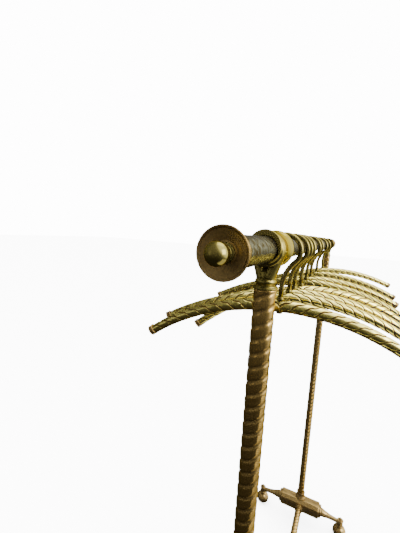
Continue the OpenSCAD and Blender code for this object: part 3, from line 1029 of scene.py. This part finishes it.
class RACK_OT_feet(Operator):
    """The feet: a bevelled block that flows into round arms and bosses"""

    bl_idname = "rack.feet"
    bl_label = "Feet"

    def execute(self, context):
        parts = [self.bar(), self.cross_pad()]
        parts += [self.boss(side) for side in (-1, 1)]
        for name, side in ENDS:
            stand_in(f"{name}_t_foot", at_end(parts, side), f"{name}_foot", "dark_brass")
        self.caps()
        return {"FINISHED"}

    @staticmethod
    def stations():
        """Distance from the middle, half width, centre height, squareness.

        The block is straight, steps down at its ends, and then tapers in an
        ogee to the boss, falling as it goes.
        """
        return np.array(
            [
                (0, 30.8, 90, 1),
                (85.5, 30.8, 90, 1),
                (87.5, 29.6, 90, 1),
                (88.2, 26.0, 90, 1),
                (89.6, 24.6, 90, 1),
                (95.5, 24.4, 90, 1),
                (97.6, 23.0, 90, 1),
                (98.2, 19.6, 89.6, 0.5),
                (99.6, 17.4, 89.2, 0),
                (104, 17.4, 88.6, 0),
                (112, 15.6, 87.4, 0),
                (124, 12.6, 85.8, 0),
                (138, 10.6, 84.0, 0),
                (152, 9.6, 82.2, 0),
                (166, 9.5, 80.4, 0),
                (176, 10.0, 79.0, 0),
                (182, 9.0, 78.2, 0),
            ]
        )

    @classmethod
    def bar(cls):
        """The foot's bar from boss to boss as one surface.

        A square of half width w with bevels b has the radius
        min(w / |cos a|, w / |sin a|, (2 w - b) / (|cos a| + |sin a|)) at
        angle a; the squareness k mixes it with a circle of radius w.
        """
        half = cls.stations()
        mirror = half[::-1].copy()[:-1]
        mirror[:, 0] *= -1
        table = np.vstack([mirror, half])
        steps = np.arange(-180, 181, 2.5)
        y = np.unique(np.concatenate([table[:, 0], steps]))
        w, height, square = (
            np.interp(y, table[:, 0], table[:, i])[:, None] for i in (1, 2, 3)
        )
        a = (np.linspace(0, TAU, 192, endpoint=False) + TAU / 384)[None]
        c, s = np.abs(np.cos(a)), np.abs(np.sin(a))
        bevel = (2 * w - 0.42 * w) / (c + s)
        flat = np.minimum(np.minimum(w / c, w / s), bevel)
        r = square * flat + (1 - square) * w
        rows = np.stack(
            [
                COLUMN_X / MM + r * np.sin(a),
                np.broadcast_to(y[:, None], r.shape),
                height + r * np.cos(a),
            ],
            -1,
        )
        worn = np.clip(0.7 + 4.0 * square * (flat / w - 1.10), 0, 1)
        return shell(rows * MM, worn=worn)

    @staticmethod
    def cross_pad():
        """The round pads on both faces, for the stretcher and its nut."""
        r = STRETCHER_R + 3 * MM
        out = COLUMN_X - corners("stretcher_cups")[1][0]
        profile = [
            (0.2 * MM, -out),
            (r - 1.2 * MM, -out),
            (r, -out + 1.2 * MM),
            (r, out - 1.2 * MM),
            (r - 1.2 * MM, out),
            (0.2 * MM, out),
        ]
        return turned(profile, (COLUMN_X, 0, STRETCHER_Z), X_AXIS, 64, 0.4 * MM)

    @staticmethod
    def boss(side):
        """A turned boss for a castor's stem, with a lip at top and bottom."""
        reach = abs(JOINTS["castor_1_turn"]["pos_m"][1])
        bottom = corners("castor_bushes")[0][2]
        top = corners("boss_caps")[0][2] + CAP_STUD
        r = 13.5 * MM
        profile = [
            (STEM_HOLE, bottom),
            (r - 0.8 * MM, bottom),
            (r, bottom + 1.0 * MM),
            (r, bottom + 4.0 * MM),
            (r - 1.6 * MM, bottom + 5.2 * MM),
            (r - 1.2 * MM, (bottom + top) / 2),
            (r - 1.6 * MM, top - 5.2 * MM),
            (r, top - 4.0 * MM),
            (r, top - 1.0 * MM),
            (r - 1.0 * MM, top),
            (3.5 * MM, top),
            (3.5 * MM, top - 6 * MM),
            (STEM_HOLE, top - 6 * MM),
            (STEM_HOLE, bottom),
        ]
        return turned(profile, (COLUMN_X, side * reach, 0), Z_AXIS, 64, 0.5 * MM, True)

    @staticmethod
    def caps():
        """Pointed caps: a disc, a waist and an ogee point."""
        low, high = corners("boss_caps")
        seat = low[2] + CAP_STUD
        tip = high[2]
        rise = tip - seat
        profile = [
            (0.1 * MM, low[2]),
            (3.4 * MM, low[2]),
            (3.4 * MM, seat),
            (7.0 * MM, seat),
            (7.0 * MM, seat + 1.6 * MM),
            (5.2 * MM, seat + 2.6 * MM),
            (5.6 * MM, seat + 3.8 * MM),
            (5.9 * MM, seat + 0.48 * rise),
            (4.6 * MM, seat + 0.64 * rise),
            (2.4 * MM, seat + 0.80 * rise),
            (1.0 * MM, tip - 0.8 * MM),
            (0.1 * MM, tip),
        ]
        shells = []
        for i in CASTORS:
            x, y, _ = JOINTS[f"castor_{i}_turn"]["pos_m"]
            shells.append(turned(profile, (x, y, 0), Z_AXIS, 40, 0.6 * MM))
        stand_in("pointed_caps", shells, "boss_caps", "dark_brass")


# The stretcher


class RACK_OT_stretcher(Operator):
    """The stretcher between the feet, its cups, washers and cap nuts"""

    bl_idname = "rack.stretcher"
    bl_label = "Stretcher"

    def execute(self, context):
        twist = context.scene.rack_twist
        length = STRETCHER_HIGH[0] - STRETCHER_LOW[0]
        start = (STRETCHER_LOW[0], 0, STRETCHER_Z)
        settings = (twist.stretcher_lead, STRETCHER_STARTS, STRETCHER_DEPTH)
        tube = twisted_tube(start, X_AXIS, length, STRETCHER_R, TUBE_WALL, settings)
        stand_in("twisted_stretcher", [tube], "stretcher", "twisted_brass")
        self.cups()
        self.washers()
        self.nuts()
        return {"FINISHED"}

    @staticmethod
    def group(name, node, profile, sides, radius, x, ring):
        """A turned piece along X at both ends of the stretcher."""
        one = turned(profile, (x, 0, STRETCHER_Z), X_AXIS, sides, radius, ring)
        stand_in(name, both_ends(one), node, "dark_brass")

    def cups(self):
        """Cups with a rolled lip that hold the stretcher's ends."""
        low, high = corners("stretcher_cups")
        r = (high[1] - low[1]) / 2
        depth = high[0] - STRETCHER_HIGH[0] + 11 * MM
        profile = [
            (ROD_HOLE, 0),
            (r, 0),
            (r, -2.5 * MM),
            (r - 1.2 * MM, -3.5 * MM),
            (r - 1.2 * MM, -depth + 3.5 * MM),
            (r, -depth + 2.6 * MM),
            (r - 0.4 * MM, -depth + 0.3 * MM),
            (r - 1.6 * MM, -depth),
            (STRETCHER_R + 0.03 * MM, -depth),
            (STRETCHER_R + 0.03 * MM, -3 * MM),
            (ROD_HOLE, -3 * MM),
            (ROD_HOLE, 0),
        ]
        self.group("stretcher_end_cups", "stretcher_cups", profile, 64, 0.4 * MM, high[0], True)

    def washers(self):
        """Flat washers under the cap nuts."""
        low, high = corners("stretcher_washers")
        r = (high[1] - low[1]) / 2
        profile = [
            (ROD_HOLE, 0),
            (r - 0.3 * MM, 0),
            (r, -0.4 * MM),
            (r - 0.4 * MM, -1.6 * MM),
            (ROD_HOLE, -1.6 * MM),
            (ROD_HOLE, 0),
        ]
        self.group("nut_washers", "stretcher_washers", profile, 48, 0.2 * MM, high[0], True)

    @staticmethod
    def nuts():
        """Domed hexagon nuts: six flats that go over into a dome.

        The radius at angle a is the lesser of the hexagon's, half the width
        across flats over cos m, and the dome's at that height.
        """
        low, high = corners("stretcher_cap_nuts")
        half = (high[1] - low[1]) / 2 * math.cos(math.pi / 6)
        half = max(half, 7.5 * MM)
        depth = high[0] - corners("stretcher_washers")[1][0]
        h = np.linspace(0, depth, 30)
        a = np.linspace(0, TAU, 96, endpoint=False)
        m = (a + TAU / 12) % (TAU / 6) - TAU / 12
        hexagon = half / np.cos(m)
        waist = 0.48 * depth
        dome = 0.93 * half * np.sqrt(np.clip(1 - ((h - waist) / (depth - waist)) ** 2, 0, 1))
        chamfer = half * 1.13 - np.clip(h - 0.8 * waist, 0, 1) * 1.2
        r = np.where(
            h[:, None] < waist,
            np.minimum(hexagon[None], chamfer[:, None]),
            np.broadcast_to(dome[:, None], (30, 96)),
        )
        r = np.maximum(r, 0.05 * MM)
        x = corners("stretcher_washers")[1][0] + h
        rows = np.stack(
            [
                np.broadcast_to(x[:, None], r.shape),
                r * np.cos(a),
                STRETCHER_Z + r * np.sin(a),
            ],
            -1,
        )
        stand_in("domed_nuts", both_ends(shell(rows)), "stretcher_cap_nuts", "dark_brass")


# The castors


class RACK_OT_castors(Operator):
    """The castors: a ball under a hood that swivels in the boss"""

    bl_idname = "rack.castors"
    bl_label = "Castors"

    def execute(self, context):
        for i in CASTORS:
            turn = np.array(JOINTS[f"castor_{i}_turn"]["pos_m"])
            centre = np.array(JOINTS[f"castor_{i}_roll"]["pos_m"])
            self.hood(i, turn, centre)
            self.wheel(i, centre)
            self.axle(i, centre)
        return {"FINISHED"}

    @staticmethod
    def hood(i, turn, centre):
        """A ball's hood as a bowl turned about a leaning axis, on its stem.

        The bowl's outer and inner skins are parts of spheres, from its crown
        to a rolled rim; the stem is a turned shell on the swivel's axis.
        """
        lean = math.radians(20)
        axis = np.array([-math.sin(lean), 0, math.cos(lean)])
        outer, inner = BALL_R + 3.7 * MM, BALL_R + 1.25 * MM
        t_out = np.radians(np.linspace(2, 98, 26))
        t_in = np.radians(np.linspace(97, 2, 26))
        rim = [(outer + 0.3 * MM, -0.165 * outer), (inner + 0.9 * MM, -0.19 * outer)]
        profile = np.vstack(
            [
                np.stack([outer * np.sin(t_out), outer * np.cos(t_out)], -1),
                rim,
                np.stack([inner * np.sin(t_in), inner * np.cos(t_in)], -1),
            ]
        )
        bowl = turned(profile, centre, axis, 72, 0)
        high = corners(f"castor_{i}_hood")[1]
        top = corners("castor_bushes")[0][2] - 0.3 * MM
        shoulder = centre[2] + 20 * MM
        stem = [
            (0.1 * MM, shoulder + 5 * MM),
            (7.6 * MM, shoulder + 5 * MM),
            (7.4 * MM, top - 6 * MM),
            (8.2 * MM, top - 4.6 * MM),
            (11.6 * MM, top - 3.8 * MM),
            (12.0 * MM, top - 2.6 * MM),
            (11.8 * MM, top - 0.6 * MM),
            (10.8 * MM, top),
            (5.0 * MM, top),
            (5.0 * MM, high[2] - 1.0 * MM),
            (4.2 * MM, high[2]),
            (0.1 * MM, high[2]),
        ]
        post = turned(stem, (turn[0], turn[1], 0), Z_AXIS, 48, 0.5 * MM)
        stand_in(f"castor_{i}_cover", [bowl, post], f"castor_{i}_hood", "dark_brass")

    @staticmethod
    def wheel(i, centre):
        """The ball: a sphere with a tread seam and a recess at each side."""
        lower, upper = np.linspace(14, 86, 24), np.linspace(94, 166, 24)
        t = np.radians(np.concatenate([lower, [88.4, 90, 91.6], upper]))
        r = np.full(len(t), BALL_R)
        seam = len(t) // 2
        r[seam] -= 0.7 * MM
        body = np.stack([r * np.sin(t), -r * np.cos(t)], -1)
        hub = body[0, 1]
        recess = hub + 1.8 * MM
        face = [(3.05 * MM, recess), (4.8 * MM, recess), (5.4 * MM, hub + 0.3 * MM)]
        back = [(p, -h) for p, h in face[::-1]]
        profile = np.vstack([face, body, back, [face[0]]])
        sphere = turned(profile, centre, Y_AXIS, 64, 0, True)
        stand_in(f"castor_{i}_rolling_ball", [sphere], f"castor_{i}_ball", "dark_brass")

    @staticmethod
    def axle(i, centre):
        """The axle, with its ends domed over."""
        low, high = corners(f"castor_{i}_axle")
        half = (high[1] - low[1]) / 2
        profile = [
            (0.1 * MM, -half),
            (2.0 * MM, -half + 0.2 * MM),
            (3.0 * MM, -half + 1.0 * MM),
            (3.0 * MM, half - 1.0 * MM),
            (2.0 * MM, half - 0.2 * MM),
            (0.1 * MM, half),
        ]
        stand_in(
            f"castor_{i}_pin", [turned(profile, centre, Y_AXIS, 32, 0.3 * MM)],
            f"castor_{i}_axle", "steel",
        )


# The hangers


class RACK_OT_hangers(Operator):
    """The coat hangers: wire hook, rope-twist bar and capped tips"""

    bl_idname = "rack.hangers"
    bl_label = "Coat hangers"

    def execute(self, context):
        for i in HANGERS:
            hang = np.array(JOINTS[f"hanger_{i}_swing"]["pos_m"])
            middle = np.array(JOINTS[f"hanger_{i}_turn"]["pos_m"]) - hang
            drop = np.linalg.norm(middle)
            lean = math.atan2(-middle[1], -middle[2])
            yaw, reach, sag = self.lie(i, hang, lean, drop)
            rope = (drop, yaw, reach, sag)
            self.build(i, "hook", self.hook(drop), hang, lean, "wire_brass")
            self.build(i, "bar", self.bar(context, i, rope), hang, lean, "rope_brass")
            self.build(i, "caps", self.tips(rope), hang, lean, "dark_brass")
        return {"FINISHED"}

    @staticmethod
    def build(i, part, shells, hang, lean, slot):
        """Leans shells over about the rail and makes them a piece."""
        placed = [(lean_over(p, lean) + hang, q, t, w) for p, q, t, w in shells]
        node = f"hanger_{i}_{part}"
        stand_in(f"{node}_shape", placed, node, slot)

    @staticmethod
    def lie(i, hang, lean, drop):
        """A hanger's turn, reach and sag, from the caps on its tips."""
        pts = lean_over(node_points(f"hanger_{i}_caps") - hang, -lean)
        left = pts[pts[:, 1] > 0].mean(0)
        yaw = math.atan2(-left[0], left[1])
        flat = turn_z(pts, -yaw)
        reach = flat[:, 1].max() - CAP_REACH
        sag = -(flat[:, 2].min() + drop + CAP_DROP)
        return yaw, reach, sag

    @staticmethod
    def hook(drop):
        """The hook: three arcs and a straight shank, a ferrule and a button.

        The first arc hugs the rail, the second bulges out on the front side
        and the third turns back to the middle, each one tangent to the next.
        """
        r1 = RAIL_R + 0.3 * MM + WIRE_R
        r2 = r1 + 4 * MM
        c = math.cos(math.radians(HOOK_TURN))
        r3 = r2 * c / (1 - c)
        shank = -4 * MM - (r2 + r3) * math.sin(math.radians(HOOK_TURN))
        bar_top = -drop + 10.3 * MM
        path = np.vstack(
            [
                arc((0, 0, 0), r1, -25, 90, 34)[:-1],
                arc((0, 0, r1 - r2), r2, 90, 180 + HOOK_TURN, 40)[:-1],
                arc((0, -r3, shank), r3, HOOK_TURN, 0, 22),
                [[0, 0, bar_top]],
            ]
        )
        end = (r1 + 1.0 * MM) * path[0] / np.linalg.norm(path[0])
        under = -drop - 10.3 * MM
        ferrule = [
            (0.1 * MM, under - 3 * MM),
            (3.4 * MM, under - 2.8 * MM),
            (5.2 * MM, under - 1.4 * MM),
            (5.0 * MM, under),
            (3.0 * MM, under),
            (3.0 * MM, bar_top),
            (6.4 * MM, bar_top),
            (6.5 * MM, bar_top + 1.8 * MM),
            (5.0 * MM, bar_top + 2.6 * MM),
            (5.4 * MM, bar_top + 3.6 * MM),
            (4.6 * MM, bar_top + 5 * MM),
            (0.1 * MM, bar_top + 5 * MM),
        ]
        return [
            wire(path, X_AXIS, WIRE_R, 24),
            ball(end, 4.9 * MM, sides=32, rows=16),
            turned(ferrule, (0, 0, 0), Z_AXIS, 40, 0.3 * MM),
        ]

    @staticmethod
    def arch(s, rope):
        """Points and directions on the bar's arc at s from -1 to 1.

        The arc's radius is (reach ** 2 + sag ** 2) / (2 * sag).
        """
        drop, yaw, reach, sag = rope
        bend = (reach**2 + sag**2) / (2 * sag)
        half = math.asin(reach / bend)
        a = np.asarray(s) * half
        flat = np.stack([0 * a, bend * np.sin(a), bend * (np.cos(a) - 1)], -1)
        along = np.stack([0 * a, np.cos(a), -np.sin(a)], -1)
        return turn_z(flat, yaw) - drop * Z_AXIS, turn_z(along, yaw), bend * half

    @classmethod
    def bar(cls, context, i, rope):
        """A rope-twist bar: flat strands wound round an arc that tapers.

        At strand phase p the radius is
        R * (1 - 0.13 * |cos pi p| ** 22 - 0.05 * p): a narrow groove beside
        a low step. The winding angle tau * l / lead has a wave of one strand
        added to it, so that each groove runs steeply and then flatly. R falls
        towards the tips, and the strands turn the other way on the other arm.
        """
        twist = context.scene.rack_twist
        drop, yaw, reach, sag = rope
        hand = -1 if i in LEFT_HANDED else 1
        s = np.linspace(-1, 1, 421)
        centre, along, half = cls.arch(s, (drop, yaw, reach - 5 * MM, sag * 0.965))
        strands = twist.bar_strands
        u = np.linspace(0, TAU, 24 * strands, endpoint=False)
        phase = strands * u / TAU % 1
        groove = np.abs(np.cos(np.pi * phase)) ** 22
        sink = 0.13 * groove + 0.05 * phase
        full = BAR_R * (1 - (1 - twist.bar_taper) * np.abs(s) ** 1.3)
        r = full[:, None] * (1 - sink[None])
        turn = TAU * np.abs(s) * half / twist.bar_lead
        turn = turn + 0.75 * np.sin(strands * turn) / strands
        a = u[None] + hand * turn[:, None]
        side = turn_z(X_AXIS[None], yaw)[0]
        up = np.cross(side, along)
        rows = centre[:, None] + r[..., None] * (
            np.cos(a)[..., None] * side + np.sin(a)[..., None] * up[:, None]
        )
        worn = np.clip(0.95 - 1.6 * groove - 0.2 * phase, 0, 1)[None]
        return [shell(rows, worn=worn)]

    @classmethod
    def tips(cls, rope):
        """A turned cap on each tip, with a lip and a domed end."""
        centre, along, _ = cls.arch([-1.0, 1.0], rope)
        r = TIP_R
        profile = [
            (0.1 * MM, -8.5 * MM),
            (r - 0.8 * MM, -8.5 * MM),
            (r, -7.8 * MM),
            (r, -6.2 * MM),
            (r - 0.6 * MM, -5.4 * MM),
            (r - 0.6 * MM, -1.8 * MM),
            (r - 0.1 * MM, -1.2 * MM),
            (r - 0.2 * MM, -0.2 * MM),
            (r - 2.2 * MM, 0.5 * MM),
            (0.1 * MM, 0.9 * MM),
        ]
        return [
            turned(profile, c, a * sign, 48, 0.4 * MM)
            for c, a, sign in zip(centre, along, (-1, 1))
        ]


class RACK_OT_hidden_parts(Operator):
    """Finishes for the parts inside the tubes, which keep their CAD shape"""

    bl_idname = "rack.hidden_parts"
    bl_label = "Hidden parts"

    def execute(self, context):
        slots = {s["node"]: s["material_slot"] for s in frame["record"]["subparts"]}
        for name, node in frame["nodes"].items():
            if node.hide_render:
                continue
            node.data.materials.clear()
            node.data.materials.append(finish_named(slots[name]))
        return {"FINISHED"}


# The stage


class RACK_OT_stage(Operator):
    """A pale floor, soft light and the camera"""

    bl_idname = "rack.stage"
    bl_label = "Stage"

    def execute(self, context):
        self.floor()
        self.world(context)
        self.lights()
        self.camera(context)
        return {"FINISHED"}

    @staticmethod
    def floor():
        """One large square at floor level."""
        half = 30.0
        mesh = bpy.data.meshes.new("floor")
        square = [(-half, -half, 0), (half, -half, 0), (half, half, 0), (-half, half, 0)]
        mesh.from_pydata(square, [], [(0, 1, 2, 3)])
        mesh.materials.append(plain_stage("pale_floor", (0.86, 0.86, 0.86)))
        floor = bpy.data.objects.new("floor", mesh)
        bpy.context.scene.collection.objects.link(floor)
        floor.visible_glossy = False

    @staticmethod
    def world(context):
        """A white surround to the eye, and a room that shows in reflections.

        The room has one bright side: its brightness rises steeply with
        direction . (0.35, -0.72, 0.60).
        """
        world = bpy.data.worlds.new("studio")
        context.scene.world = world
        world.use_nodes = True
        nodes, links = world.node_tree.nodes, world.node_tree.links
        nodes.clear()
        coord = nodes.new("ShaderNodeTexCoord")
        toward = nodes.new("ShaderNodeVectorMath")
        toward.operation = "DOT_PRODUCT"
        toward.inputs[1].default_value = (0.35, -0.72, 0.60)
        links.new(coord.outputs["Generated"], toward.inputs[0])
        height = nodes.new("ShaderNodeMapRange")
        height.inputs["From Min"].default_value = -1.0
        links.new(toward.outputs["Value"], height.inputs["Value"])
        ramp = nodes.new("ShaderNodeValToRGB")
        links.new(height.outputs[0], ramp.inputs["Fac"])
        elements = ramp.color_ramp.elements
        elements[0].position = 0.30
        elements[0].color = (0.012, 0.011, 0.01, 1)
        elements[1].position = 0.98
        elements[1].color = (1.0, 1.0, 1.0, 1)
        for position, level in ((0.60, 0.03), (0.72, 0.10), (0.80, 0.55), (0.90, 0.95)):
            elements.new(position).color = (level, level, level, 1)
        room = nodes.new("ShaderNodeBackground")
        room.inputs["Strength"].default_value = 3.2
        links.new(ramp.outputs["Color"], room.inputs["Color"])
        sky = nodes.new("ShaderNodeBackground")
        sky.inputs["Color"].default_value = (1, 1, 1, 1)
        sky.inputs["Strength"].default_value = 14.0
        path = nodes.new("ShaderNodeLightPath")
        mix = nodes.new("ShaderNodeMixShader")
        links.new(path.outputs["Is Glossy Ray"], mix.inputs["Fac"])
        links.new(sky.outputs[0], mix.inputs[1])
        links.new(room.outputs[0], mix.inputs[2])
        out = nodes.new("ShaderNodeOutputWorld")
        links.new(mix.outputs[0], out.inputs["Surface"])

    @staticmethod
    def area(name, place, aim, size, power, colour=(1, 1, 1)):
        """A square soft light at a place, facing a point."""
        data = bpy.data.lights.new(name, "AREA")
        data.size = size
        data.energy = power
        data.color = colour
        light = bpy.data.objects.new(name, data)
        back = np.array(place) - np.array(aim)
        back /= np.linalg.norm(back)
        right = np.cross(Z_AXIS, back)
        right /= np.linalg.norm(right)
        set_pose(light, right, np.cross(back, right), back, place)
        light.visible_camera = False
        bpy.context.scene.collection.objects.link(light)

    @classmethod
    def lights(cls):
        """A key, a top light and a fill, and a low bounce from the floor.

        The bounce stands beside the rack, and the camera sees none of them.
        """
        cls.area("key", (-0.6, -2.4, 2.2), (0.0, 0.0, 1.2), 1.6, 60, (1, 0.98, 0.93))
        cls.area("top", (0.2, -0.4, 3.4), (0.0, 0.0, 1.0), 1.6, 18)
        cls.area("fill", (-2.6, 1.6, 1.6), (0.0, 0.0, 1.0), 1.4, 1.5, (0.93, 0.96, 1))
        cls.area("bounce", (0.1, -1.15, 0.01), (0.1, -1.149, 1.0), 1.9, 14, (1, 0.95, 0.85))

    @staticmethod
    def camera(context):
        """The camera from its heading, pitch and roll."""
        view = context.scene.rack_view
        ch, sh = math.cos(view.heading), math.sin(view.heading)
        cp, sp = math.cos(view.pitch), math.sin(view.pitch)
        forward = np.array([-sh * cp, ch * cp, sp])
        level = np.array([ch, sh, 0.0])
        upright = np.cross(level, forward)
        cr, sr = math.cos(view.roll), math.sin(view.roll)
        right = cr * level + sr * upright
        up = cr * upright - sr * level
        data = bpy.data.cameras.new("camera")
        data.lens = view.lens
        data.sensor_width = 36
        data.sensor_fit = "AUTO"
        data.clip_start = 0.01
        camera = bpy.data.objects.new("camera", data)
        set_pose(camera, right, up, -forward, view.place)
        context.scene.collection.objects.link(camera)
        context.scene.camera = camera


def set_pose(obj, right, up, back, place):
    """Puts an object at a place with its own X, Y and Z axes given."""
    matrix = np.eye(4)
    matrix[:3, 0], matrix[:3, 1], matrix[:3, 2] = right, up, back
    matrix[:3, 3] = place
    obj.matrix_world = Matrix(matrix.tolist())


class RACK_PT_panel(Panel):
    """Lists the rack's sizes, colours and steps"""

    bl_idname = "RACK_PT_panel"
    bl_label = "Brass garment rack"
    bl_space_type = "VIEW_3D"
    bl_region_type = "UI"
    bl_category = "Rack"

    def draw(self, context):
        for group in (context.scene.rack_finish, context.scene.rack_twist, context.scene.rack_view):
            box = self.layout.box()
            for key in group.__annotations__:
                box.prop(group, key)
        for step in STEPS:
            self.layout.operator(step.bl_idname)


STEPS = (
    RACK_OT_stage,
    RACK_OT_rail,
    RACK_OT_flanges,
    RACK_OT_finials,
    RACK_OT_yokes,
    RACK_OT_columns,
    RACK_OT_sockets,
    RACK_OT_feet,
    RACK_OT_stretcher,
    RACK_OT_castors,
    RACK_OT_hangers,
    RACK_OT_hidden_parts,
)
GROUPS = {"rack_finish": RackFinish, "rack_twist": RackTwist, "rack_view": RackView}


def register():
    for cls in (*GROUPS.values(), *STEPS, RACK_PT_panel):
        bpy.utils.register_class(cls)
    for name, cls in GROUPS.items():
        setattr(bpy.types.Scene, name, PointerProperty(type=cls))


def unregister():
    for name in GROUPS:
        delattr(bpy.types.Scene, name)
    for cls in reversed((*GROUPS.values(), *STEPS, RACK_PT_panel)):
        bpy.utils.unregister_class(cls)


def main():
    register()
    for step in STEPS:
        group, action = step.bl_idname.split(".")
        getattr(getattr(bpy.ops, group), action)()


if __name__ == "__main__":
    main()
